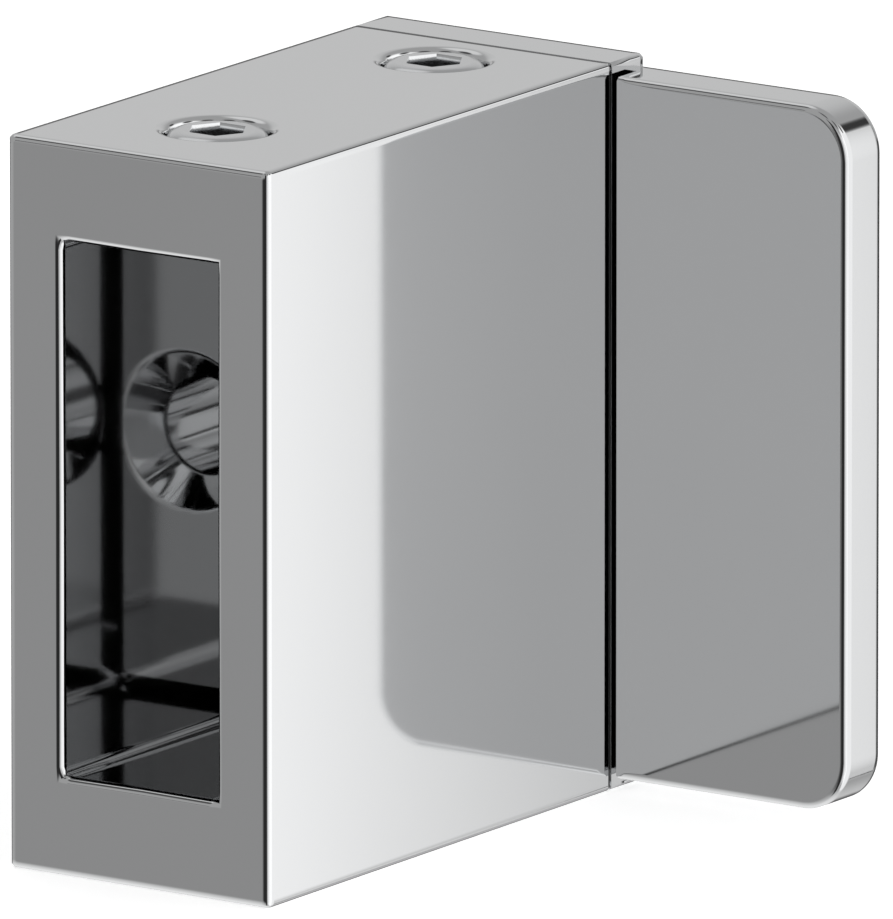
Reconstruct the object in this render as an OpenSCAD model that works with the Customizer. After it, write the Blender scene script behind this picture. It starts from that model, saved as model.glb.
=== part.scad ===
// Wall bracket for a flat stabiliser bar on a shower screen.
// A wall plate with a side wing and a tenon, a sleeve that slides over the tenon and takes the bar,
// and two hex socket set screws in the top of the sleeve.
// The origin is the centre of the fixing hole on the wall face: +X points to the wing,
// +Y into the wall and +Z up.

/* [Sleeve] */
// Width across the sleeve
sleeve_w = 17.6; // [15:0.1:26]
// Height of the sleeve and of the wall plate
sleeve_h = 42; // [40:0.1:60]
// Length of the sleeve, from its front face to the seam at the wall plate
sleeve_l = 34; // [30:0.1:60]
// Width of the pocket, for a bar 10 thick
pocket_w = 10.4; // [8:0.1:12]
// Height of the pocket, for a bar 30 high
pocket_h = 30.6; // [24:0.1:32]
// Rounding in the corners of the pocket
pocket_corner_r = 0.4; // [0.2:0.05:0.8]
// Rounding of the outer edges and of the pocket's mouth
edge_r = 0.5; // [0.35:0.05:0.6]
// Rounding of the edges that meet at the seam and at the groove
seam_r = 0.12; // [0.08:0.02:0.2]

/* [Wall plate] */
// Thickness of the plate behind the sleeve
plate_t = 3.3; // [2.5:0.1:6]
// Rounding of the edges that lie on the wall
back_r = 0.4; // [0.2:0.05:0.6]
// Distance that the wing stands out from the side of the sleeve
wing_reach = 16; // [8:0.5:40]
// Distance that the wing's front face stands forward of the seam
wing_proud = 0.1; // [0.05:0.05:0.35]
// Distance that the wing's top and bottom stay inside the height of the plate
wing_drop = 0.75; // [0.6:0.05:3]
// Radius of the wing's two outer corners
wing_corner_r = 3; // [1:0.25:6]
// Width of the groove between the sleeve and the wing
groove_w = 0.4; // [0.15:0.05:0.5]
// Thickness of the web behind the groove, which joins the wing to the plate
web_t = 1.4; // [1:0.1:2]

/* [Tenon] */
// Length of the tenon in the sleeve
tenon_l = 14.2; // [8:0.1:20]
// Chamfer round the front of the tenon
tenon_chamfer = 0.7; // [0.3:0.1:1]
// Clearance on each side of the tenon in the pocket
slide_gap = 0.1; // [0.05:0.01:0.2]
// Clearance under the tenon in the pocket
seat_gap = 0.05; // [0.03:0.01:0.15]

/* [Fixing hole] */
// Diameter of the hole for the wall screw
fixing_d = 5.5; // [4:0.1:6.5]
// Diameter of the countersink at the front of the tenon
countersink_d = 9.5; // [7:0.1:9.8]

/* [Set screws] */
// Nominal thread diameter of the set screws
screw_d = 6; // [5:0.5:8]
// Radial clearance between a set screw and its hole
thread_gap = 0.05; // [0.03:0.01:0.08]
// Depth of a set screw's top below the top of the sleeve
screw_recess = 0.05; // [0.05:0.05:1]
// Distance that a set screw's tip reaches into the pocket
screw_reach = 0.35; // [0.3:0.05:0.6]
// Clearance between the rear set screw's tip and the tenon
tip_gap = 0.02; // [0.01:0.01:0.05]
// Size across the flats of the hex socket
hex_af = 3; // [2:0.5:4]
// Depth of the hex socket
hex_depth = 3; // [2:0.25:4]
// Rounding of the rim round a set screw's top
crown_r = 0.4; // [0.2:0.05:0.6]
// Chamfer round a set screw's tip
tip_chamfer = 1; // [0.5:0.1:1.4]
// Chamfer round the mouth of a tapped hole
hole_chamfer = 0.6; // [0.3:0.1:1]
// Distance of the front set screw from the sleeve's front face
front_screw_in = 7.8; // [6:0.1:12]
// Distance of the rear set screw from the seam
rear_screw_in = 4.8; // [4:0.1:7]

/* [Hidden] */
$fn = 96;
// Overshoot of a cut past the face that it opens
over = 1;
chrome = [0.80, 0.81, 0.82];
screw_steel = [0.70, 0.71, 0.72];

sleeve_top = sleeve_h / 2;
pocket_top = pocket_h / 2;
front_y = -plate_t - sleeve_l;

tenon_w = pocket_w - 2 * slide_gap;
tenon_h = pocket_h - seat_gap - screw_reach - tip_gap;
tenon_mid_z = seat_gap - pocket_top + tenon_h / 2;
// The tenon starts inside the plate, so that the two are one solid
tenon_root = plate_t / 2;
countersink_depth = (countersink_d - fixing_d) / 2;

wing_t = plate_t + wing_proud;
wing_h = sleeve_h - 2 * wing_drop;
wing_left_x = sleeve_w / 2 + groove_w;
wing_corner_x = sleeve_w / 2 + wing_reach - wing_corner_r;
// The web starts inside the plate and ends inside the wing, so that the three are one solid
web_left_x = sleeve_w / 2 - 2 * edge_r;
web_right_x = wing_left_x + 2 * edge_r;

screw_l = sleeve_top - pocket_top - screw_recess + screw_reach;
screw_r = screw_d / 2 - thread_gap;
screw_tip_z = pocket_top - screw_reach;
front_screw_y = front_y + front_screw_in;
rear_screw_y = -plate_t - rear_screw_in;

// Rectangle with four round corners, centred
module round_rect(w, h, r) {
    square([w, h - 2 * r], center = true);
    square([w - 2 * r, h], center = true);
    for (sx = [-1, 1], sy = [-1, 1])
        translate([sx * (w / 2 - r), sy * (h / 2 - r)])
            circle(r = r);
}

// Outline of width w that runs from y = -l to y = 0, with its front and rear corners rounded
module slab_outline(w, l, front_r, rear_r) {
    translate([-w / 2, front_r - l])
        square([w, l - front_r - rear_r]);
    translate([front_r - w / 2, -l])
        square([w - 2 * front_r, l / 2]);
    translate([rear_r - w / 2, -l / 2])
        square([w - 2 * rear_r, l / 2]);
    for (side = [-1, 1]) {
        translate([side * (w / 2 - front_r), front_r - l])
            circle(r = front_r);
        translate([side * (w / 2 - rear_r), -rear_r])
            circle(r = rear_r);
    }
}

// The outline of a section, run along X from x0 to x1: its width stands along Z
module run_along_x(x0, x1) {
    translate([x0, 0, 0])
        rotate([90, 0, 90])
            linear_extrude(x1 - x0)
                rotate(-90)
                    children();
}

// Block with the section w by h that runs from y = -l to y = 0, with every edge rounded
module round_block(w, h, l, front_r, rear_r) {
    intersection() {
        rotate([90, 0, 0])
            linear_extrude(l)
                round_rect(w, h, edge_r);
        linear_extrude(h, center = true)
            slab_outline(w, l, front_r, rear_r);
        run_along_x(-w / 2, w / 2)
            slab_outline(h, l, front_r, rear_r);
    }
}

// Outline of an opening of width w at y = 0, with round lips that flare out to the front
module mouth_outline(w) {
    difference() {
        translate([-w / 2 - edge_r, -over])
            square([w + 2 * edge_r, over + edge_r]);
        for (side = [-1, 1])
            translate([side * (w / 2 + edge_r), edge_r])
                circle(r = edge_r);
    }
}

// The pocket, from its flared mouth right through the sleeve
module pocket() {
    translate([0, over - plate_t, 0])
        rotate([90, 0, 0])
            linear_extrude(sleeve_l + 2 * over)
                round_rect(pocket_w, pocket_h, pocket_corner_r);
    translate([0, front_y, 0])
        intersection() {
            linear_extrude(pocket_h + 2 * edge_r + 2 * over, center = true)
                mouth_outline(pocket_w);
            run_along_x(-pocket_w / 2 - edge_r - over, pocket_w / 2 + edge_r + over)
                mouth_outline(pocket_h);
        }
}

// Hole for a set screw through the top wall, with a chamfered mouth
module tapped_hole(y) {
    translate([0, y, pocket_top - over])
        cylinder(d = screw_d, h = sleeve_top - pocket_top + 2 * over);
    translate([0, y, sleeve_top - hole_chamfer])
        cylinder(r1 = screw_d / 2, r2 = screw_d / 2 + hole_chamfer + over, h = hole_chamfer + over);
}

// Outline of the tenon seen across one of its sides, chamfered at the front
module tenon_outline(w) {
    l = tenon_l + tenon_root;
    half = w / 2;
    polygon([
        [-half, 0],
        [-half, tenon_chamfer - l],
        [tenon_chamfer - half, -l],
        [half - tenon_chamfer, -l],
        [half, tenon_chamfer - l],
        [half, 0]
    ]);
}

module tenon() {
    translate([0, tenon_root - plate_t, tenon_mid_z])
        intersection() {
            rotate([90, 0, 0])
                linear_extrude(tenon_l + tenon_root)
                    round_rect(tenon_w, tenon_h, pocket_corner_r);
            linear_extrude(tenon_h, center = true)
                tenon_outline(tenon_w);
            run_along_x(-tenon_w / 2, tenon_w / 2)
                tenon_outline(tenon_h);
        }
}

// Hole for the wall screw, countersunk from the front
module fixing_hole() {
    rotate([90, 0, 0]) {
        translate([0, 0, -over])
            cylinder(d = fixing_d, h = plate_t + tenon_l + 2 * over);
        translate([0, 0, plate_t + tenon_l - countersink_depth])
            cylinder(r1 = fixing_d / 2, r2 = countersink_d / 2 + over, h = countersink_depth + over);
    }
}

// Outline of the wing's outer rim, from the centre of a corner outwards along X
module rim_outline() {
    inner = wing_corner_r;
    translate([0, edge_r - wing_t])
        square([inner, wing_t - edge_r - back_r]);
    translate([0, -wing_t])
        square([inner - edge_r, wing_t / 2]);
    translate([0, -wing_t / 2])
        square([inner - back_r, wing_t / 2]);
    translate([inner - edge_r, edge_r - wing_t])
        circle(r = edge_r);
    translate([inner - back_r, -back_r])
        circle(r = back_r);
}

// Plan of the wing's inner part, with a round edge at the groove
module wing_plan() {
    l = wing_corner_x - wing_left_x + over;
    translate([wing_left_x, seam_r - wing_t])
        square([l, wing_t - seam_r]);
    translate([wing_left_x + seam_r, -wing_t])
        square([l - seam_r, wing_t]);
    translate([wing_left_x + seam_r, seam_r - wing_t])
        circle(r = seam_r);
}

// The wing: a straight part, an outer rim and two round corners
module wing() {
    corner_z = wing_h / 2 - wing_corner_r;
    intersection() {
        run_along_x(wing_left_x, wing_corner_x)
            slab_outline(wing_h, wing_t, edge_r, back_r);
        linear_extrude(wing_h, center = true)
            wing_plan();
    }
    translate([wing_corner_x, 0, -corner_z])
        linear_extrude(2 * corner_z)
            rim_outline();
    for (side = [0, 1])
        mirror([0, 0, side])
            translate([wing_corner_x, 0, corner_z])
                rotate([90, 0, 0])
                    mirror([0, 0, 1])
                        rotate_extrude(angle = 90)
                            rim_outline();
}

// The web that joins the wing to the plate
module web() {
    run_along_x(web_left_x, web_right_x)
        slab_outline(wing_h, web_t, seam_r, back_r);
}

module wall_plate() {
    color(chrome)
        difference() {
            union() {
                round_block(sleeve_w, sleeve_h, plate_t, seam_r, back_r);
                web();
                wing();
                tenon();
            }
            fixing_hole();
        }
}

module sleeve() {
    color(chrome)
        difference() {
            translate([0, -plate_t, 0])
                round_block(sleeve_w, sleeve_h, sleeve_l, edge_r, seam_r);
            pocket();
            tapped_hole(front_screw_y);
            tapped_hole(rear_screw_y);
        }
}

// Half section of a set screw, from its tip up
module screw_outline() {
    polygon([
        [0, 0],
        [screw_r - tip_chamfer, 0],
        [screw_r, tip_chamfer],
        [screw_r, screw_l - crown_r],
        [screw_r - crown_r, screw_l - crown_r],
        [screw_r - crown_r, screw_l],
        [0, screw_l]
    ]);
    translate([screw_r - crown_r, screw_l - crown_r])
        circle(r = crown_r);
}

// A hex socket set screw on a vertical axis at the distance y
module set_screw(y) {
    color(screw_steel)
        translate([0, y, screw_tip_z])
            difference() {
                rotate_extrude()
                    screw_outline();
                translate([0, 0, screw_l - hex_depth])
                    cylinder(d = hex_af / cos(30), h = hex_depth + over, $fn = 6);
            }
}

module front_set_screw() {
    set_screw(front_screw_y);
}

module rear_set_screw() {
    set_screw(rear_screw_y);
}

wall_plate();
sleeve();
front_set_screw();
rear_set_screw();
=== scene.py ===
"""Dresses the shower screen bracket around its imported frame.

A polished chrome sleeve sits on the tenon of a wall plate with a wing, and two
hex socket set screws stand in its top.  Sizes are in millimetres in the part's own
frame: the origin is the fixing hole on the wall face, +X points to the wing, +Y
into the wall and +Z up.
"""

from __future__ import annotations

import logging
import math
from collections.abc import Callable, Iterator, Sequence
from contextlib import contextmanager
from dataclasses import dataclass, field
from enum import Enum
from typing import Any

import bmesh
import bpy
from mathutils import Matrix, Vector

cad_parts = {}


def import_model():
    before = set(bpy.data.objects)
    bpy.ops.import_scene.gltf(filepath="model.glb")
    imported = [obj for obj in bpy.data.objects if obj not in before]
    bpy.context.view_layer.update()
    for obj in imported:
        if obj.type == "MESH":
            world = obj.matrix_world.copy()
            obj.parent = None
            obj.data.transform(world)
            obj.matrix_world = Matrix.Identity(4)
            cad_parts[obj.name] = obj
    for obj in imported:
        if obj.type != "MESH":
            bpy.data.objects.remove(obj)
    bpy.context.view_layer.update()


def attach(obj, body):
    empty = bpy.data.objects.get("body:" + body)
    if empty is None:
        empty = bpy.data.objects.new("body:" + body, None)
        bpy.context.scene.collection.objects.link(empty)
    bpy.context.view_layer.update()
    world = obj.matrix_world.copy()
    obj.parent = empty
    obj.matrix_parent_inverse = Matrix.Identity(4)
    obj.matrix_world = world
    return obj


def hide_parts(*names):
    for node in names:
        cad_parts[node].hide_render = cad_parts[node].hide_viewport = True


LOG = logging.getLogger("bracket")
MM = 0.001
NEAR = 0.01
# Scale of a Wave Texture whose rings lie one unit apart
RING_SCALE = 0.314

FaceTest = Callable[[Vector, Vector], bool]
EdgeTest = Callable[[Vector, Vector], bool]


class Side(Enum):
    """A direction along one axis of the part's frame."""

    RIGHT = (1.0, 0.0, 0.0)
    LEFT = (-1.0, 0.0, 0.0)
    BACK = (0.0, 1.0, 0.0)
    FRONT = (0.0, -1.0, 0.0)
    TOP = (0.0, 0.0, 1.0)
    BOTTOM = (0.0, 0.0, -1.0)

    @property
    def vector(self) -> Vector:
        """The direction as a unit vector."""
        return Vector(self.value)


class Pick(Enum):
    """What a click selects in edit mode."""

    FACES = "FACE"
    EDGES = "EDGE"


class Join(Enum):
    """How one solid acts on another."""

    CARVE = "DIFFERENCE"
    FUSE = "UNION"


def close(value: float, target: float) -> bool:
    """Whether two lengths are the same on the bench."""
    return abs(value - target) < NEAR


def anywhere(first: Vector, second: Vector) -> bool:
    """Picks every face or every edge."""
    return True


def faces_at(side: Side, level: float) -> FaceTest:
    """Picks the faces that look one way at one level.

    Args:
        side: The way the faces look.
        level: Their place along that direction, from the origin.

    Returns:
        A test on a face's centre and normal.
    """

    def test(centre: Vector, normal: Vector) -> bool:
        """Whether the face is one of them."""
        return normal.dot(side.vector) > 0.99 and close(
            centre.dot(side.vector), level
        )

    return test


def rim_at(axis: Side, level: float, radius: float, centre: Vector) -> EdgeTest:
    """Picks the edges of a round rim.

    Args:
        axis: The direction of the rim's axis.
        level: The rim's place along that direction.
        radius: The rim's radius.
        centre: A point on the axis.

    Returns:
        A test on an edge's two ends.
    """

    def on_rim(point: Vector) -> bool:
        """Whether a point lies on the rim."""
        arm = point - centre
        off_axis = arm - arm.dot(axis.vector) * axis.vector
        return close(point.dot(axis.vector), level) and close(off_axis.length, radius)

    def test(start: Vector, end: Vector) -> bool:
        """Whether both ends lie on the rim."""
        return on_rim(start) and on_rim(end)

    return test


class Workbench:
    """One mesh under work, shaped by operators with sizes in millimetres."""

    def __init__(self, obj: bpy.types.Object) -> None:
        """Takes an object onto the bench."""
        self.obj = obj

    @classmethod
    def take_new(cls, name: str) -> Workbench:
        """Names the primitive that was just added and puts its place in its mesh.

        Args:
            name: The name of the object and its mesh.

        Returns:
            The bench that holds it.
        """
        obj = bpy.context.active_object
        obj.name = obj.data.name = name
        bpy.ops.object.transform_apply(location=True, rotation=True, scale=True)
        return cls(obj)

    @classmethod
    def block(cls, name: str, low: Sequence[float], high: Sequence[float]) -> Workbench:
        """Adds a block between two corners.

        Args:
            name: The name of the new object.
            low: The lowest corner.
            high: The highest corner.

        Returns:
            The bench that holds the block.
        """
        bpy.ops.object.select_all(action="DESELECT")
        lowest, highest = Vector(low), Vector(high)
        bpy.ops.mesh.primitive_cube_add(
            size=1,
            location=(lowest + highest) / 2 * MM,
            scale=(highest - lowest) * MM,
        )
        return cls.take_new(name)

    @classmethod
    def drum(
        cls,
        name: str,
        base: Sequence[float],
        side: Side,
        radius: float,
        length: float,
        corners: int,
        turn: float = 0.0,
    ) -> Workbench:
        """Adds a cylinder or prism that stands on a point.

        Args:
            name: The name of the new object.
            base: The middle of the end it stands on.
            side: The way it points, top or back.
            radius: Its radius to the corners.
            length: Its length.
            corners: The number of corners of its section.
            turn: A turn about its own axis, in radians.

        Returns:
            The bench that holds the drum.
        """
        bpy.ops.object.select_all(action="DESELECT")
        tilt = math.pi / 2 if side is Side.BACK else 0.0
        bpy.ops.mesh.primitive_cylinder_add(
            vertices=corners,
            radius=radius * MM,
            depth=length * MM,
            location=(Vector(base) + side.vector * length / 2) * MM,
            rotation=(tilt, 0.0, turn),
        )
        return cls.take_new(name)

    @contextmanager
    def editing(self, pick: Pick) -> Iterator[bmesh.types.BMesh]:
        """Opens the mesh in edit mode with nothing selected.

        Args:
            pick: What is to be selected.

        Yields:
            The mesh under edit.
        """
        bpy.ops.object.select_all(action="DESELECT")
        self.obj.select_set(True)
        bpy.context.view_layer.objects.active = self.obj
        bpy.ops.object.mode_set(mode="EDIT")
        bpy.ops.mesh.select_mode(type=pick.value)
        bpy.ops.mesh.select_all(action="DESELECT")
        yield bmesh.from_edit_mesh(self.obj.data)
        bpy.ops.object.mode_set(mode="OBJECT")

    @contextmanager
    def faces(self, test: FaceTest) -> Iterator[None]:
        """Opens the mesh with some faces selected.

        Args:
            test: Tells from a face's centre and normal whether it is one of them.

        Yields:
            Nothing: the operators act on the selection.
        """
        with self.editing(Pick.FACES) as mesh:
            chosen = [f for f in mesh.faces if test(f.calc_center_median() / MM, f.normal)]
            self._select(mesh, chosen)
            yield

    @contextmanager
    def edges(self, test: EdgeTest) -> Iterator[None]:
        """Opens the mesh with some edges selected.

        Args:
            test: Tells from an edge's two ends whether it is one of them.

        Yields:
            Nothing: the operators act on the selection.
        """
        with self.editing(Pick.EDGES) as mesh:
            chosen = [e for e in mesh.edges if test(e.verts[0].co / MM, e.verts[1].co / MM)]
            self._select(mesh, chosen)
            yield

    def _select(self, mesh: bmesh.types.BMesh, chosen: Sequence[Any]) -> None:
        """Selects faces or edges, and stops where there are none.

        Args:
            mesh: The mesh under edit.
            chosen: The faces or edges to select.
        """
        if not chosen:
            raise ValueError(f"nothing to select on {self.obj.name}")
        for part in chosen:
            part.select_set(True)
        mesh.select_flush_mode()
        bmesh.update_edit_mesh(self.obj.data)

    def inset(self, test: FaceTest, border: float) -> None:
        """Draws a smaller outline inside the chosen faces."""
        with self.faces(test):
            bpy.ops.mesh.inset(thickness=border * MM, depth=0)

    def push(self, test: FaceTest, offset: Vector) -> None:
        """Extrudes the chosen faces by an offset."""
        with self.faces(test):
            bpy.ops.mesh.extrude_region_move(
                TRANSFORM_OT_translate={"value": offset * MM}
            )

    def stretch(self, test: FaceTest, factor: Sequence[float], about: Vector) -> None:
        """Scales the chosen faces about a point."""
        with self.faces(test):
            bpy.ops.transform.resize(value=factor, center_override=about * MM)

    def shift(self, test: FaceTest, offset: Vector) -> None:
        """Moves the chosen faces by an offset."""
        with self.faces(test):
            bpy.ops.transform.translate(value=offset * MM)

    def slice(self, test: FaceTest, point: Vector, normal: Vector) -> None:
        """Cuts the chosen faces along a plane."""
        with self.faces(test):
            bpy.ops.mesh.bisect(
                plane_co=point * MM, plane_no=normal, threshold=1e-7
            )

    def rule(self, side: Side, levels: Sequence[float], test: FaceTest = anywhere) -> None:
        """Draws lines across the chosen faces at some levels along one direction."""
        for level in levels:
            self.slice(test, side.vector * level, side.vector)

    def quarter(self) -> None:
        """Draws the middle lines, so that an opening's outline meets plain edges."""
        for side in (Side.RIGHT, Side.TOP):
            self.rule(side, (0.0,))

    def round(self, test: EdgeTest, radius: float, segments: int) -> None:
        """Rounds the chosen edges, or chamfers them with one segment."""
        with self.edges(test):
            bpy.ops.mesh.bevel(
                offset=radius * MM,
                segments=segments,
                profile=0.5,
                affect="EDGES",
                clamp_overlap=False,
            )

    def weigh(self, test: EdgeTest, share: float) -> None:
        """Gives the chosen edges their share of the rounding to come."""
        with self.edges(test):
            bpy.ops.transform.edge_bevelweight(value=share)

    def round_weighed(self, radius: float, segments: int) -> None:
        """Rounds every weighed edge at once, so that corners meet.

        Args:
            radius: The radius of an edge with a share of 1.
            segments: The number of facets across an edge.
        """
        bevel = self.obj.modifiers.new("Edges", "BEVEL")
        bevel.limit_method = "WEIGHT"
        bevel.width = radius * MM
        bevel.segments = segments
        bevel.use_clamp_overlap = False
        self.apply(bevel)

    def merge_flat(self, test: FaceTest) -> None:
        """Joins those of the chosen faces that lie in one plane."""
        with self.faces(test):
            bpy.ops.mesh.dissolve_limited(angle_limit=math.radians(0.05))

    def combine(self, tool: Workbench, how: Join) -> None:
        """Carves a tool out of the mesh or fuses it on, and clears the tool away.

        Args:
            tool: The solid that acts.
            how: What it does.
        """
        boolean = self.obj.modifiers.new("Combine", "BOOLEAN")
        boolean.operation = how.value
        boolean.solver = "MANIFOLD"
        boolean.object = tool.obj
        self.apply(boolean)
        bpy.data.objects.remove(tool.obj, do_unlink=True)

    def apply(self, modifier: bpy.types.Modifier) -> None:
        """Applies one modifier to the mesh."""
        bpy.ops.object.select_all(action="DESELECT")
        self.obj.select_set(True)
        bpy.context.view_layer.objects.active = self.obj
        bpy.ops.object.modifier_apply(modifier=modifier.name)

    def settle(self, crease: float, soft: EdgeTest | None = None) -> None:
        """Turns faces outwards and sets how the light rolls over the edges.

        Args:
            crease: The angle in degrees from which an edge stays sharp.
            soft: Picks the edges over which the polish rolls all the same.
        """
        with self.editing(Pick.FACES):
            bpy.ops.mesh.select_all(action="SELECT")
            bpy.ops.mesh.remove_doubles(threshold=1e-7)
            bpy.ops.mesh.normals_make_consistent(inside=False)
        bpy.ops.object.shade_smooth_by_angle(angle=math.radians(crease))
        if soft:
            with self.edges(soft):
                bpy.ops.mesh.mark_sharp(clear=True)
        weighted = self.obj.modifiers.new("Flats", "WEIGHTED_NORMAL")
        weighted.keep_sharp = True
        weighted.weight = 50
        self.apply(weighted)

    def copy_to(self, name: str, offset: Vector) -> Workbench:
        """Makes a moved copy with its own mesh.

        Args:
            name: The name of the copy.
            offset: Where it goes from here.

        Returns:
            The bench that holds the copy.
        """
        bpy.ops.object.select_all(action="DESELECT")
        self.obj.select_set(True)
        bpy.context.view_layer.objects.active = self.obj
        bpy.ops.object.duplicate(linked=False)
        bpy.ops.transform.translate(value=offset * MM)
        return Workbench.take_new(name)


class Wire:
    """A node's output that takes part in Python arithmetic."""

    def __init__(self, tree: bpy.types.NodeTree, output: bpy.types.NodeSocket) -> None:
        """Wraps one output of a node tree."""
        self.tree = tree
        self.output = output

    def _math(self, operation: str, first: Any, second: Any) -> Wire:
        """Adds a Math node.

        Args:
            operation: The node's operation.
            first: The first number or wire.
            second: The second number or wire.

        Returns:
            The result as a wire.
        """
        node = self.tree.nodes.new("ShaderNodeMath")
        node.operation = operation
        for socket, value in zip(node.inputs, (first, second)):
            if isinstance(value, Wire):
                self.tree.links.new(value.output, socket)
            else:
                socket.default_value = value
        return Wire(self.tree, node.outputs[0])

    def __add__(self, other: Any) -> Wire:
        """Adds."""
        return self._math("ADD", self, other)

    __radd__ = __add__

    def __mul__(self, other: Any) -> Wire:
        """Multiplies."""
        return self._math("MULTIPLY", self, other)

    __rmul__ = __mul__

    def __sub__(self, other: Any) -> Wire:
        """Subtracts."""
        return self._math("SUBTRACT", self, other)

    def __rsub__(self, other: Any) -> Wire:
        """Subtracts from a number."""
        return self._math("SUBTRACT", other, self)


class NodeBench:
    """Adds nodes to one tree and wires them up."""

    def __init__(self, tree: bpy.types.NodeTree) -> None:
        """Clears the tree for new nodes."""
        self.tree = tree
        tree.nodes.clear()

    def add(
        self,
        kind: str,
        settings: dict[str, Any] | None = None,
        sockets: dict[str | int, Any] | None = None,
        output: str | int = 0,
    ) -> Wire:
        """Adds a node.

        Args:
            kind: The node's type.
            settings: Its own settings, set first.
            sockets: A value or a wire for each of its inputs, by name or number.
            output: The output to hand back, by name or number.

        Returns:
            That output as a wire.
        """
        node = self.tree.nodes.new(kind)
        for key, value in (settings or {}).items():
            setattr(node, key, value)
        for key, value in (sockets or {}).items():
            if isinstance(value, Wire):
                self.tree.links.new(value.output, node.inputs[key])
            else:
                node.inputs[key].default_value = value
        return Wire(self.tree, node.outputs[output]) if node.outputs else Wire(self.tree, None)

    def place(self) -> Wire:
        """The point on the surface in the object's own coordinates."""
        return self.add("ShaderNodeTexCoord", output="Object")

    def noise(self, at: Wire, scale: float, detail: float = 2.0) -> Wire:
        """Cloudy noise from 0 to 1.

        Args:
            at: The point it is read at.
            scale: Blobs to a metre.
            detail: How many finer layers it has.

        Returns:
            The noise as a wire.
        """
        return self.add(
            "ShaderNodeTexNoise", sockets={"Vector": at, "Scale": scale, "Detail": detail}
        )

    def blend(self, share: Wire, low: Sequence[float], high: Sequence[float]) -> Wire:
        """Mixes two colours.

        Args:
            share: How much of the second colour.
            low: The first colour.
            high: The second colour.

        Returns:
            The mixed colour as a wire.
        """
        return self.add(
            "ShaderNodeMix",
            {"data_type": "RGBA"},
            {0: share, 6: (*low, 1.0), 7: (*high, 1.0)},
            output=2,
        )


@dataclass(frozen=True)
class PolishedChrome:
    """Bright chrome plate: a clear mirror with a breath of haze and waviness."""

    slot: str = "polished_chrome"
    tint_low: tuple[float, float, float] = (0.672, 0.678, 0.684)
    tint_high: tuple[float, float, float] = (0.692, 0.697, 0.702)
    roughness: float = 0.055
    haze: float = 0.02
    cloud_scale: float = 70.0
    polish_scale: float = 900.0
    wave_scale: float = 160.0
    wave_height: float = 4e-7

    def make(self) -> bpy.types.Material:
        """Builds the material.

        Returns:
            The chrome.
        """
        material = bpy.data.materials.new(self.slot)
        material.use_nodes = True
        bench = NodeBench(material.node_tree)
        at = bench.place()
        cloud = bench.noise(at, self.cloud_scale, 3.0)
        polish = bench.noise(at, self.polish_scale, 4.0)
        wave = bench.noise(at, self.wave_scale, 1.0)
        bump = bench.add(
            "ShaderNodeBump",
            sockets={
                "Strength": 1.0,
                "Distance": self.wave_height,
                "Height": wave,
            },
        )
        shader = bench.add(
            "ShaderNodeBsdfPrincipled",
            sockets={
                "Base Color": bench.blend(cloud, self.tint_low, self.tint_high),
                "Metallic": 1.0,
                "Roughness": self.roughness + self.haze * (cloud + polish - 1.0),
                "Normal": bump,
            },
        )
        bench.add("ShaderNodeOutputMaterial", sockets={"Surface": shader})
        return material


@dataclass(frozen=True)
class ScrewSteel:
    """Bright stainless steel with fine turning rings about the screw's axis."""

    slot: str = "screw_steel"
    tint_low: tuple[float, float, float] = (0.60, 0.61, 0.62)
    tint_high: tuple[float, float, float] = (0.68, 0.685, 0.69)
    roughness: float = 0.10
    cloud_haze: float = 0.05
    ring_haze: float = 0.02
    cloud_scale: float = 400.0
    ring_pitch: float = 0.12
    ring_height: float = 1.5e-7
    ring_wobble: float = 0.6

    def make(self, name: str, axis: Vector) -> bpy.types.Material:
        """Builds the material for one screw.

        Args:
            name: The material's name.
            axis: A point on the screw's axis.

        Returns:
            The steel, with its rings centred on that axis.
        """
        material = bpy.data.materials.new(name)
        material.use_nodes = True
        bench = NodeBench(material.node_tree)
        at = bench.place()
        centred = bench.add(
            "ShaderNodeMapping",
            {"vector_type": "TEXTURE"},
            {"Vector": at, "Location": Vector((axis.x, axis.y, 0.0)) * MM},
        )
        rings = bench.add(
            "ShaderNodeTexWave",
            {"wave_type": "RINGS", "rings_direction": "Z"},
            {
                "Vector": centred,
                "Scale": RING_SCALE / (self.ring_pitch * MM),
                "Distortion": self.ring_wobble,
            },
        )
        cloud = bench.noise(at, self.cloud_scale, 3.0)
        bump = bench.add(
            "ShaderNodeBump",
            sockets={
                "Strength": 1.0,
                "Distance": self.ring_height,
                "Height": rings,
            },
        )
        shader = bench.add(
            "ShaderNodeBsdfPrincipled",
            sockets={
                "Base Color": bench.blend(cloud, self.tint_low, self.tint_high),
                "Metallic": 1.0,
                "Roughness": self.roughness
                + self.cloud_haze * cloud
                + self.ring_haze * rings,
                "Normal": bump,
            },
        )
        bench.add("ShaderNodeOutputMaterial", sockets={"Surface": shader})
        return material


def dress(
    piece: Workbench, material: bpy.types.Material, body: str, node: str
) -> None:
    """Gives a finished piece its material and its body, and hides the CAD node it stands for.

    Args:
        piece: The finished piece.
        material: Its material.
        body: The CAD body it rides on.
        node: The CAD node it replaces.
    """
    piece.obj.data.materials.clear()
    piece.obj.data.materials.append(material)
    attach(piece.obj, body)
    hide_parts(node)
    LOG.info("%s: %d faces", piece.obj.name, len(piece.obj.data.polygons))


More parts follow.
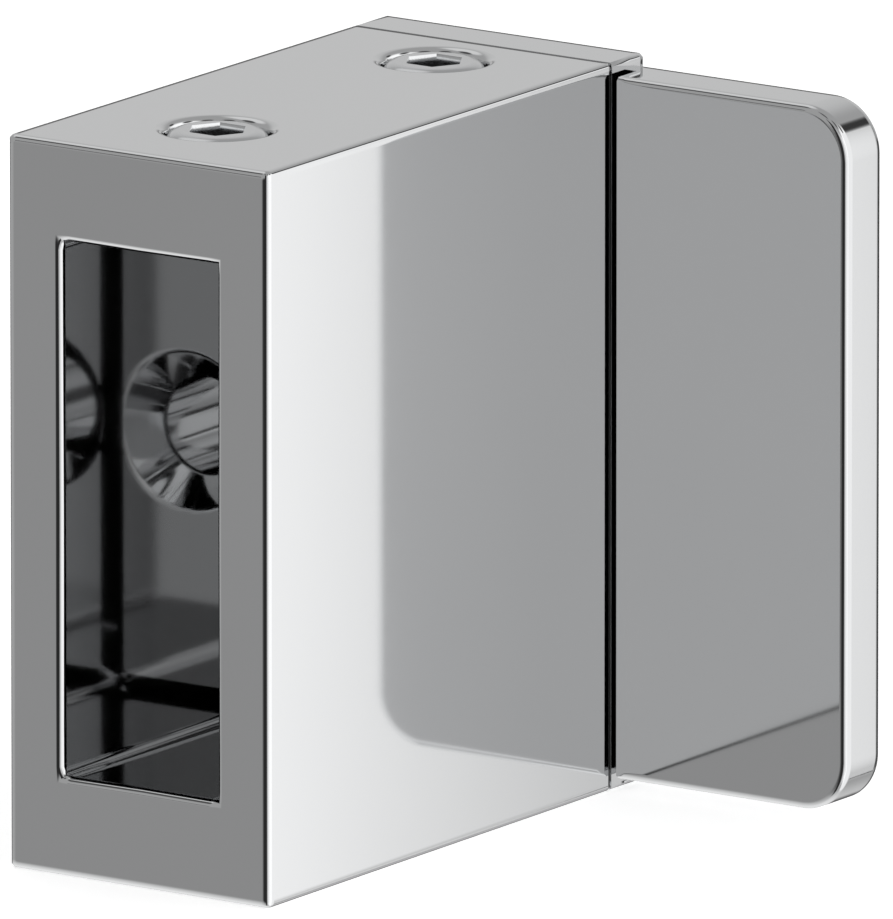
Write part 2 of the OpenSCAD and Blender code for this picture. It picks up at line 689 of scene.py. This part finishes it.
@dataclass
class Sleeve:
    """The block with the bar's pocket through it and two tapped holes in its top."""

    width: float = 17.6
    height: float = 42.0
    front: float = -37.3
    back: float = -3.3
    pocket_width: float = 10.4
    pocket_height: float = 30.6
    edge: float = 0.2
    mouth_edge: float = 0.45
    seam_gap: float = 0.15
    seam_border: float = 1.0
    band: float = 0.5
    seam_band: float = 0.16
    hole_radius: float = 3.0
    hole_edge: float = 0.55
    hole_inner_edge: float = 0.2
    holes: tuple[float, ...] = (-29.5, -8.1)
    edge_segments: int = 6
    inner_segments: int = 3
    hole_corners: int = 96
    node: str = "sleeve"

    def build(self) -> Workbench:
        """Models the sleeve from one block.

        Returns:
            The finished sleeve.
        """
        half_w, half_h = self.width / 2, self.height / 2
        border = self.back - self.seam_gap
        piece = Workbench.block(
            "sleeve_shell", (-half_w, self.front, -half_h), (half_w, border, half_h)
        )
        rear = faces_at(Side.BACK, border)
        piece.inset(rear, self.seam_border)
        piece.push(
            lambda c, n: rear(c, n) and c.xz.length < 1, Vector((0.0, self.seam_gap, 0.0))
        )
        piece.round(lambda a, b: min(a.y, b.y) < border - NEAR, self.edge, 1)
        self._open_pocket(piece)
        self._rule_bands(piece)
        self._drill(piece)
        piece.settle(30.0, anywhere)
        return piece

    def _open_pocket(self, piece: Workbench) -> None:
        """Cuts the bar's pocket right through the block and breaks its two mouths.

        Args:
            piece: The sleeve under work.
        """
        half_w, half_h, over = self.pocket_width / 2, self.pocket_height / 2, 1.0
        broach = Workbench.block(
            "broach",
            (-half_w, self.front - over, -half_h),
            (half_w, self.back + over, half_h),
        )
        piece.quarter()
        broach.quarter()
        piece.combine(broach, Join.CARVE)

        def mouth(a: Vector, b: Vector) -> bool:
            """Whether an edge bounds the pocket at the front or at the back."""
            return close(a.y, b.y) and all(
                (close(p.y, self.front) or close(p.y, self.back))
                and abs(p.x) < half_w + NEAR
                and abs(p.z) < half_h + NEAR
                for p in (a, b)
            )

        piece.round(mouth, self.mouth_edge, self.edge_segments)

    def _rule_bands(self, piece: Workbench) -> None:
        """Draws a band along both sides of each edge, over which the polish rolls.

        Args:
            piece: The sleeve under work.
        """
        half_w, half_h = self.width / 2, self.height / 2
        for side, outside, pocket in (
            (Side.RIGHT, half_w, self.pocket_width / 2),
            (Side.TOP, half_h, self.pocket_height / 2),
        ):
            levels = (outside - self.band, pocket - self.band)
            piece.rule(side, levels)
            piece.rule(side, [-level for level in levels])
        piece.rule(
            Side.BACK,
            (self.front + self.band, self.back - self.seam_gap - self.seam_band),
            lambda c, n: abs(c.x) > half_w - self.band or abs(c.z) > half_h - self.band,
        )

    def _drill(self, piece: Workbench) -> None:
        """Drills the tapped holes through the top wall and rounds their rims.

        Args:
            piece: The sleeve under work.
        """
        ceiling, top = self.pocket_height / 2, self.height / 2
        for place in self.holes:
            drill = Workbench.drum(
                "drill",
                (0.0, place, ceiling - 2),
                Side.TOP,
                self.hole_radius,
                top - ceiling + 4,
                self.hole_corners,
            )
            piece.combine(drill, Join.CARVE)
            axis = Vector((0.0, place, 0.0))
            for level, radius, segments in (
                (top, self.hole_edge, self.edge_segments),
                (ceiling, self.hole_inner_edge, self.inner_segments),
            ):
                rim = rim_at(Side.TOP, level, self.hole_radius, axis)
                piece.round(rim, radius, segments)


@dataclass
class WallPlate:
    """The plate on the wall with its tenon, its fixing hole and its wing."""

    width: float = 17.6
    height: float = 42.0
    seam: float = -3.3
    edge: float = 0.2
    seam_edge: float = 0.07
    groove_edge: float = 0.02
    band: float = 0.5
    wing_end: float = 24.8
    wing_front: float = -3.4
    wing_drop: float = 0.75
    wing_corner: float = 3.0
    groove_width: float = 0.4
    groove_floor: float = -1.4
    tenon_width: float = 10.2
    tenon_low: float = -15.25
    tenon_high: float = 14.93
    tenon_front: float = -17.5
    tenon_corner: float = 0.4
    tenon_chamfer: float = 0.7
    hole_radius: float = 2.75
    sink_lip: tuple[tuple[float, float], ...] = ((4.45, 0.169), (4.65, 0.054), (4.85, 0.0))
    hole_edge: float = 0.2
    hole_corners: int = 96
    edge_segments: int = 6
    hole_segments: int = 4
    corner_segments: int = 20
    node: str = "wall_plate"

    def build(self) -> Workbench:
        """Models the wall plate from one block.

        Returns:
            The finished plate.
        """
        half_w, half_h = self.width / 2, self.height / 2
        piece = Workbench.block(
            "wall_plate_shell", (-half_w, self.seam, -half_h), (half_w, 0.0, half_h)
        )
        self._raise_tenon(piece)
        self._draw_wing(piece)
        self._break_edges(piece)
        self._rule_bands(piece)
        self._bore(piece)
        piece.settle(30.0, self._is_polished_over)
        return piece

    def _raise_tenon(self, piece: Workbench) -> None:
        """Draws the tenon on the plate's front and pulls it forward.

        Args:
            piece: The plate under work.
        """
        border = (self.width - self.tenon_width) / 2
        tall = self.tenon_high - self.tenon_low
        middle = (self.tenon_high + self.tenon_low) / 2
        front = faces_at(Side.FRONT, -self.seam)
        root: FaceTest = lambda c, n: front(c, n) and close(c.x, 0) and abs(c.z) < 1
        piece.inset(front, border)
        piece.stretch(root, (1.0, 1.0, tall / (self.height - 2 * border)), Vector())
        piece.shift(root, Vector((0.0, 0.0, middle)))
        shoulder = self.tenon_front + self.tenon_chamfer
        piece.push(root, Vector((0.0, shoulder - self.seam, 0.0)))
        piece.push(
            faces_at(Side.FRONT, -shoulder), Vector((0.0, self.tenon_front - shoulder, 0.0))
        )
        piece.stretch(
            faces_at(Side.FRONT, -self.tenon_front),
            (
                1 - 2 * self.tenon_chamfer / self.tenon_width,
                1.0,
                1 - 2 * self.tenon_chamfer / tall,
            ),
            Vector((0.0, self.tenon_front, middle)),
        )

        def long_edge(a: Vector, b: Vector) -> bool:
            """Whether an edge runs along the tenon or over a corner of its chamfer."""
            along = (a - b).y
            hip = min(abs(v) for v in a - b) > self.tenon_chamfer / 2
            return hip or (abs(along) > 10 and min(a.y, b.y) < shoulder + NEAR)

        piece.round(long_edge, self.tenon_corner, self.edge_segments)

    def _draw_wing(self, piece: Workbench) -> None:
        """Pulls the wing out of the plate's end, with the groove at its root.

        Args:
            piece: The plate under work.
        """
        half_w = self.width / 2
        wing_half = self.height / 2 - self.wing_drop
        end = faces_at(Side.RIGHT, half_w)
        for level in (wing_half, -wing_half):
            piece.slice(end, Vector((0.0, 0.0, level)), Side.TOP.vector)
        piece.slice(end, Vector((0.0, self.groove_floor, 0.0)), Side.BACK.vector)
        outer = half_w + self.groove_width
        root: FaceTest = (
            lambda c, n: end(c, n) and abs(c.z) < 1 and c.y > self.groove_floor
        )
        piece.push(root, Vector((self.groove_width, 0.0, 0.0)))
        piece.push(
            faces_at(Side.RIGHT, outer), Vector((self.wing_end - outer, 0.0, 0.0))
        )
        floor = faces_at(Side.FRONT, -self.groove_floor)
        piece.push(
            lambda c, n: floor(c, n) and c.x > outer + 1,
            Vector((0.0, self.wing_front - self.groove_floor, 0.0)),
        )
        piece.merge_flat(lambda c, n: c.x > half_w + NEAR)
        piece.round(
            lambda a, b: close(a.x, self.wing_end)
            and close(b.x, self.wing_end)
            and abs(a.y - b.y) > 1,
            self.wing_corner,
            self.corner_segments,
        )

    def _break_edges(self, piece: Workbench) -> None:
        """Breaks the outer edges of the plate and the wing in one go.

        Args:
            piece: The plate under work.
        """
        half_w, half_h = self.width / 2, self.height / 2

        def outline(a: Vector, b: Vector) -> bool:
            """Whether an edge bounds the wing's front or the wall face."""
            inner = all(close(p.x, half_w + self.groove_width) for p in (a, b))
            return not inner and any(
                all(close(p.y, level) for p in (a, b)) for level in (self.wing_front, 0.0)
            )

        def corner(a: Vector, b: Vector) -> bool:
            """Whether an edge runs through the plate at one of its corners."""
            return abs(a.y - b.y) > 1 and all(
                close(abs(p.x), half_w) and close(abs(p.z), half_h) for p in (a, b)
            )

        def at_seam(a: Vector, b: Vector) -> bool:
            """Whether an edge bounds the plate at the seam."""
            return all(
                close(p.y, self.seam) and (close(abs(p.x), half_w) or close(abs(p.z), half_h))
                for p in (a, b)
            )

        def at_groove(a: Vector, b: Vector) -> bool:
            """Whether an edge at the seam lies along the groove."""
            return at_seam(a, b) and close(a.x, half_w) and close(b.x, half_w)

        piece.weigh(lambda a, b: outline(a, b) or corner(a, b), 1.0)
        piece.weigh(
            lambda a, b: at_seam(a, b) and not at_groove(a, b), self.seam_edge / self.edge
        )
        piece.weigh(at_groove, self.groove_edge / self.edge)
        piece.round_weighed(self.edge, 1)

    def _rule_bands(self, piece: Workbench) -> None:
        """Draws a band along both sides of each outer edge, over which the polish rolls.

        Args:
            piece: The plate under work.
        """
        half_w, half_h = self.width / 2, self.height / 2
        on_plate: FaceTest = lambda c, n: c.x < half_w + NEAR
        on_wing: FaceTest = lambda c, n: c.x > half_w + self.groove_width - NEAR
        inner = self.band - self.edge
        piece.inset(faces_at(Side.FRONT, -self.wing_front), inner)
        piece.inset(faces_at(Side.BACK, 0.0), inner)
        for side, half in ((Side.RIGHT, half_w), (Side.TOP, half_h)):
            piece.rule(side, (half - self.band, self.band - half), on_plate)
        piece.rule(Side.BACK, (self.wing_front + self.band,), on_wing)
        piece.rule(Side.RIGHT, (half_w + self.groove_width + self.band,), on_wing)
        piece.rule(Side.BACK, (-self.band,))

    def _is_polished_over(self, a: Vector, b: Vector) -> bool:
        """Whether the polish rolls over an edge of the plate or the wing.

        Args:
            a: One end of the edge.
            b: Its other end.

        Returns:
            False on the tenon, at the seam, and round the groove at the wing's root.
        """
        half_w = self.width / 2
        on_plate = all(
            p.y > self.seam + self.seam_edge + NEAR
            and (abs(p.x) > self.tenon_width / 2 + NEAR or abs(p.z) > self.tenon_high + 1)
            for p in (a, b)
        )
        groove = half_w + self.groove_width
        on_wing = any(p.x > groove + NEAR for p in (a, b))
        at_root = all(half_w - NEAR < p.x < groove + NEAR for p in (a, b)) and all(
            abs(p.z) < self.height / 2 - self.wing_drop + NEAR for p in (a, b)
        )
        return (on_plate or on_wing) and not at_root

    def _bore(self, piece: Workbench) -> None:
        """Bores the countersunk fixing hole through the tenon and the plate.

        Args:
            piece: The plate under work.
        """
        radius, depth = self.sink_lip[0]
        sink_start = self.tenon_front + depth + radius - self.hole_radius
        over = 1.0
        drill = Workbench.drum(
            "drill",
            (0.0, sink_start, 0.0),
            Side.BACK,
            self.hole_radius,
            over - sink_start,
            self.hole_corners,
        )
        level, width = sink_start, self.hole_radius
        slope = (self.sink_lip[-1][0] - self.sink_lip[-2][0]) / self.sink_lip[-2][1]
        clear = (self.sink_lip[-1][0] + slope * over, -over)
        for radius, depth in (*self.sink_lip, clear):
            place = self.tenon_front + depth
            drill.push(faces_at(Side.FRONT, -level), Vector((0.0, place - level, 0.0)))
            drill.stretch(
                faces_at(Side.FRONT, -place),
                (radius / width, 1.0, radius / width),
                Vector((0.0, place, 0.0)),
            )
            level, width = place, radius
        piece.quarter()
        piece.combine(drill, Join.CARVE)
        for level in (sink_start, 0.0):
            rim = rim_at(Side.BACK, level, self.hole_radius, Vector())
            piece.round(rim, self.hole_edge, self.hole_segments)


@dataclass
class SetScrews:
    """The two hex socket set screws, modelled once on an upright axis."""

    radius: float = 2.95
    root_radius: float = 2.5
    tip: float = 14.95
    top: float = 20.95
    crown: float = 0.85
    crown_height: float = 1.4
    crown_segments: int = 8
    tip_chamfer: float = 0.55
    pitch: float = 1.0
    crest_gap: float = 0.01
    ridge_sink: float = 0.12
    ridge_half: float = 0.42
    ridge_flat: float = 0.07
    ridge_start: float = 1.7
    hex_across: float = 3.0
    hex_depth: float = 3.0
    hex_lip: float = 0.4
    hex_narrow: float = 0.93
    point_depth: float = 0.5
    point_share: float = 0.2
    corners: int = 96
    places: dict[str, float] = field(
        default_factory=lambda: {"front_set_screw": -29.5, "rear_set_screw": -8.1}
    )

    def build(self) -> dict[str, Workbench]:
        """Models one screw and copies it to each hole.

        Returns:
            The finished screws by node.
        """
        master = self._shank()
        master.combine(self._ridge(), Join.FUSE)
        self._socket(master)
        master.settle(30.0)
        screws = {
            node: master.copy_to(f"{node}_turned", Vector((0.0, place, 0.0)))
            for node, place in self.places.items()
        }
        bpy.data.objects.remove(master.obj, do_unlink=True)
        return screws

    def _shank(self) -> Workbench:
        """Turns the root of the thread, the crown above it and the tip below.

        Returns:
            The plain screw.
        """
        shoulder = self.top - self.crown_height
        piece = Workbench.drum(
            "screw_master",
            (0.0, 0.0, self.tip),
            Side.TOP,
            self.root_radius,
            shoulder - self.tip,
            self.corners,
        )
        wide = self.radius / self.root_radius
        flare = self.radius - self.root_radius
        piece.push(faces_at(Side.TOP, shoulder), Vector((0.0, 0.0, flare)))
        piece.stretch(
            faces_at(Side.TOP, shoulder + flare),
            (wide, wide, 1.0),
            Vector((0.0, 0.0, shoulder)),
        )
        piece.push(
            faces_at(Side.TOP, shoulder + flare),
            Vector((0.0, 0.0, self.crown_height - flare)),
        )
        axis = Vector()
        piece.round(
            rim_at(Side.TOP, self.top, self.radius, axis), self.crown, self.crown_segments
        )
        piece.round(
            rim_at(Side.TOP, self.tip, self.root_radius, axis), self.tip_chamfer, 1
        )
        return piece

    def _ridge(self) -> Workbench:
        """Winds the thread's ridge about the axis.

        Returns:
            The ridge as one closed coil.
        """
        bottom = self.tip + self.tip_chamfer
        turns = int((self.top - self.crown_height - bottom) / self.pitch)
        crest = self.radius - self.crest_gap
        root = self.root_radius - self.ridge_sink
        half, flat = self.pitch * self.ridge_half, self.pitch * self.ridge_flat
        piece = Workbench.block(
            "ridge", (root, -0.01, bottom), (crest, 0.01, bottom + 2 * half)
        )
        middle = bottom + half
        piece.stretch(
            faces_at(Side.RIGHT, crest), (1.0, 1.0, flat / half), Vector((0.0, 0.0, middle))
        )
        with piece.faces(lambda c, n: n.y < 0.5):
            bpy.ops.mesh.delete(type="FACE")
        with piece.faces(anywhere):
            bpy.ops.mesh.delete(type="ONLY_FACE")
        with piece.edges(anywhere):
            bpy.ops.transform.rotate(
                value=math.radians(self.ridge_start),
                orient_axis="Z",
                center_override=(0.0, 0.0, 0.0),
            )
        screw = piece.obj.modifiers.new("Thread", "SCREW")
        screw.axis = "Z"
        screw.screw_offset = self.pitch * MM
        screw.iterations = turns
        screw.steps = screw.render_steps = self.corners
        piece.apply(screw)
        with piece.editing(Pick.EDGES):
            bpy.ops.mesh.select_all(action="SELECT")
            bpy.ops.mesh.remove_doubles(threshold=1e-7)
            bpy.ops.mesh.select_all(action="DESELECT")
            bpy.ops.mesh.select_non_manifold()
            bpy.ops.mesh.fill_holes(sides=0)
            bpy.ops.mesh.select_all(action="SELECT")
            bpy.ops.mesh.normals_make_consistent(inside=False)
        return piece

    def _socket(self, piece: Workbench) -> None:
        """Sinks the hex socket, with a corner towards the wing.

        Args:
            piece: The screw under work.
        """
        narrow = self.hex_across / math.sqrt(3) * self.hex_narrow
        floor, lip = self.top - self.hex_depth, self.top - self.hex_lip
        key = Workbench.drum(
            "key", (0.0, 0.0, floor), Side.TOP, narrow, lip - floor, 6, math.pi / 6
        )
        point = floor - self.point_depth
        key.push(faces_at(Side.BOTTOM, -floor), Vector((0.0, 0.0, point - floor)))
        key.stretch(
            faces_at(Side.BOTTOM, -point),
            (self.point_share, self.point_share, 1.0),
            Vector((0.0, 0.0, point)),
        )
        wide = 1 / self.hex_narrow
        key.push(faces_at(Side.TOP, lip), Vector((0.0, 0.0, self.hex_lip)))
        key.stretch(faces_at(Side.TOP, self.top), (wide, wide, 1.0), Vector())
        key.push(faces_at(Side.TOP, self.top), Vector((0.0, 0.0, 1.0)))
        piece.combine(key, Join.CARVE)


@dataclass(frozen=True)
class Glow:
    """A soft round patch of the studio's surroundings."""

    towards: tuple[float, float, float]
    inner: float
    outer: float
    tone: float


@dataclass(frozen=True)
class Card:
    """A bounce card near the object, seen only in the metal, with a soft fall-off."""

    name: str
    faces: Side
    centre: tuple[float, float, float]
    size: float
    tones: tuple[tuple[float, float], ...]


@dataclass(frozen=True)
class Studio:
    """The pale floor, the soft surroundings, the bounce cards and the camera."""

    floor_level: float = -21.02
    floor_size: float = 6000.0
    floor_tone: float = 0.9
    floor_lift: float = 0.62
    bounces: int = 4
    room_tone: float = 0.45
    glows: tuple[Glow, ...] = (
        Glow((-0.549, -0.805, -0.227), 10, 24, 0.36),
        Glow((-0.549, -0.805, 0.227), 1, 3.2, 0.13),
        Glow((-0.549, 0.805, 0.227), 14, 45, 0.655),
        Glow((-0.549, 0.05, 0.83), 14, 26, 0.85),
        Glow((0.97, 0.2, -0.1), 48, 66, 1.45),
        Glow((0.17, 0.955, -0.227), 10, 15, 0.08),
        Glow((0.344, 0.804, 0.484), 2, 8.5, 0.05),
        Glow((0.636, 0.314, 0.706), 5, 12, 0.10),
        Glow((0.489, -0.234, 0.84), 5, 12, 0.10),
        Glow((0.011, -0.547, 0.837), 5, 12, 0.10),
        Glow((-0.549, -0.34, 0.764), 7, 14, 0.10),
        Glow((0.549, -0.805, -0.227), 10, 20, 0.70),
        Glow((0.068, -0.972, -0.227), 10, 32, 0.03),
        Glow((-0.4, 0.1, -0.91), 12, 62, 1.07),
        Glow((-0.93, 0.3, -0.227), 8, 16, 0.10),
        Glow((-0.8, 0.56, -0.227), 8, 19, 0.10),
        Glow((-0.549, 0.805, -0.227), 10, 25, 0.10),
        Glow((-0.2, 0.95, -0.227), 8, 19, 0.10),
    )
    cards: tuple[Card, ...] = (
        Card(
            "side_card",
            Side.RIGHT,
            (60.0, 60.0, -20.0),
            140.0,
            ((38.0, 1.22), (72.0, 0.77), (97.0, 0.77), (106.0, 0.06)),
        ),
        Card(
            "front_card",
            Side.FRONT,
            (145.0, -120.0, -30.0),
            260.0,
            (
                (44.0, 0.03),
                (52.7, 0.16),
                (60.2, 0.46),
                (64.7, 0.69),
                (92.0, 0.69),
                (104.0, 0.77),
                (112.0, 1.2),
            ),
        ),
    )
    azimuth: float = 34.308
    elevation: float = 13.129
    aim: tuple[float, float, float] = (6.215, -15.983, 0.269)
    distance: float = 2135.63
    lens: float = 1493.44
    sensor: float = 36.0
    sight: float = 100.0

    def build(self) -> None:
        """Sets up everything round the object."""
        self._surround()
        self._lay_floor()
        for card in self.cards:
            self._stand_card(card)
        self._place_camera()
        scene = bpy.context.scene
        scene.view_settings.view_transform = "Standard"
        scene.cycles.max_bounces = scene.cycles.glossy_bounces = self.bounces

    def _surround(self) -> None:
        """Paints the soft surroundings that light and mirror in the metal."""
        world = bpy.data.worlds.new("studio")
        bpy.context.scene.world = world
        world.use_nodes = True
        bench = NodeBench(world.node_tree)
        way = bench.add("ShaderNodeTexCoord", output="Generated")
        tone: Any = self.room_tone
        for glow in self.glows:
            facing = bench.add(
                "ShaderNodeVectorMath",
                {"operation": "DOT_PRODUCT"},
                {0: way, 1: Vector(glow.towards).normalized()},
                output="Value",
            )
            share = bench.add(
                "ShaderNodeMapRange",
                {"interpolation_type": "SMOOTHSTEP"},
                {
                    "Value": facing,
                    "From Min": math.cos(math.radians(glow.outer)),
                    "From Max": math.cos(math.radians(glow.inner)),
                },
            )
            tone = share * glow.tone + (1 - share) * tone
        background = bench.add(
            "ShaderNodeBackground",
            sockets={"Color": (1.0, 1.0, 1.0, 1.0), "Strength": tone},
        )
        bench.add("ShaderNodeOutputWorld", sockets={"Surface": background})

    def _lay_floor(self) -> None:
        """Lays the pale floor under the object."""
        bpy.ops.object.select_all(action="DESELECT")
        bpy.ops.mesh.primitive_plane_add(
            size=self.floor_size * MM, location=(0.0, 0.0, self.floor_level * MM)
        )
        floor = Workbench.take_new("floor").obj
        material = bpy.data.materials.new("floor_paper")
        material.use_nodes = True
        bench = NodeBench(material.node_tree)
        tone = self.floor_tone
        paper = bench.add("ShaderNodeBsdfDiffuse", sockets={"Color": (tone, tone, tone, 1.0)})
        lift = bench.add("ShaderNodeEmission", sockets={"Strength": self.floor_lift})
        both = bench.add("ShaderNodeAddShader", sockets={0: paper, 1: lift})
        bench.add("ShaderNodeOutputMaterial", sockets={"Surface": both})
        floor.data.materials.append(material)
        floor.visible_glossy = False

    def _stand_card(self, card: Card) -> None:
        """Stands one bounce card beside the object.

        Args:
            card: The card's place, size and tones along its width.
        """
        upright = {
            Side.RIGHT: (0.0, math.pi / 2, 0.0),
            Side.FRONT: (math.pi / 2, 0.0, 0.0),
        }
        bpy.ops.object.select_all(action="DESELECT")
        bpy.ops.mesh.primitive_plane_add(
            size=card.size * MM,
            location=Vector(card.centre) * MM,
            rotation=upright[card.faces],
        )
        board = Workbench.take_new(card.name).obj
        material = bpy.data.materials.new(card.name)
        material.use_nodes = True
        bench = NodeBench(material.node_tree)
        axis = "Y" if card.faces is Side.RIGHT else "X"
        along = bench.add("ShaderNodeSeparateXYZ", sockets={0: bench.place()}, output=axis)
        tone: Any = card.tones[0][1]
        for (start, low), (end, high) in zip(card.tones, card.tones[1:]):
            step = bench.add(
                "ShaderNodeMapRange",
                sockets={
                    "Value": along,
                    "From Min": start * MM,
                    "From Max": end * MM,
                    "To Min": 0.0,
                    "To Max": high - low,
                },
            )
            tone = step + tone
        glow = bench.add("ShaderNodeEmission", sockets={"Strength": tone})
        bench.add("ShaderNodeOutputMaterial", sockets={"Surface": glow})
        board.data.materials.append(material)
        board.visible_camera = False
        board.visible_diffuse = False
        board.visible_shadow = False

    def _place_camera(self) -> None:
        """Puts the camera where the photograph was taken from."""
        turn, rise = math.radians(self.azimuth), math.radians(self.elevation)
        back = Vector(
            (
                math.sin(turn) * math.cos(rise),
                -math.cos(turn) * math.cos(rise),
                math.sin(rise),
            )
        )
        bpy.ops.object.select_all(action="DESELECT")
        bpy.ops.object.camera_add(
            location=(Vector(self.aim) + back * self.distance) * MM,
            rotation=back.to_track_quat("Z", "Y").to_euler(),
        )
        camera = bpy.context.active_object
        camera.name = "photo_camera"
        camera.data.lens = self.lens
        camera.data.sensor_width = self.sensor
        camera.data.clip_end = self.sight
        bpy.context.scene.camera = camera


def main() -> None:
    """Loads the frame and builds the studio and each piece in order."""
    logging.basicConfig(level=logging.INFO, format="%(name)s: %(message)s")
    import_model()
    Studio().build()
    chrome = PolishedChrome()
    plating = chrome.make()
    plate, sleeve, screws = WallPlate(), Sleeve(), SetScrews()
    dress(plate.build(), plating, plate.node, plate.node)
    dress(sleeve.build(), plating, sleeve.node, sleeve.node)
    steel = ScrewSteel()
    for node, piece in screws.build().items():
        axis = Vector((0.0, screws.places[node], 0.0))
        dress(piece, steel.make(f"{node}_steel", axis), node, node)


if __name__ == "__main__":
    main()
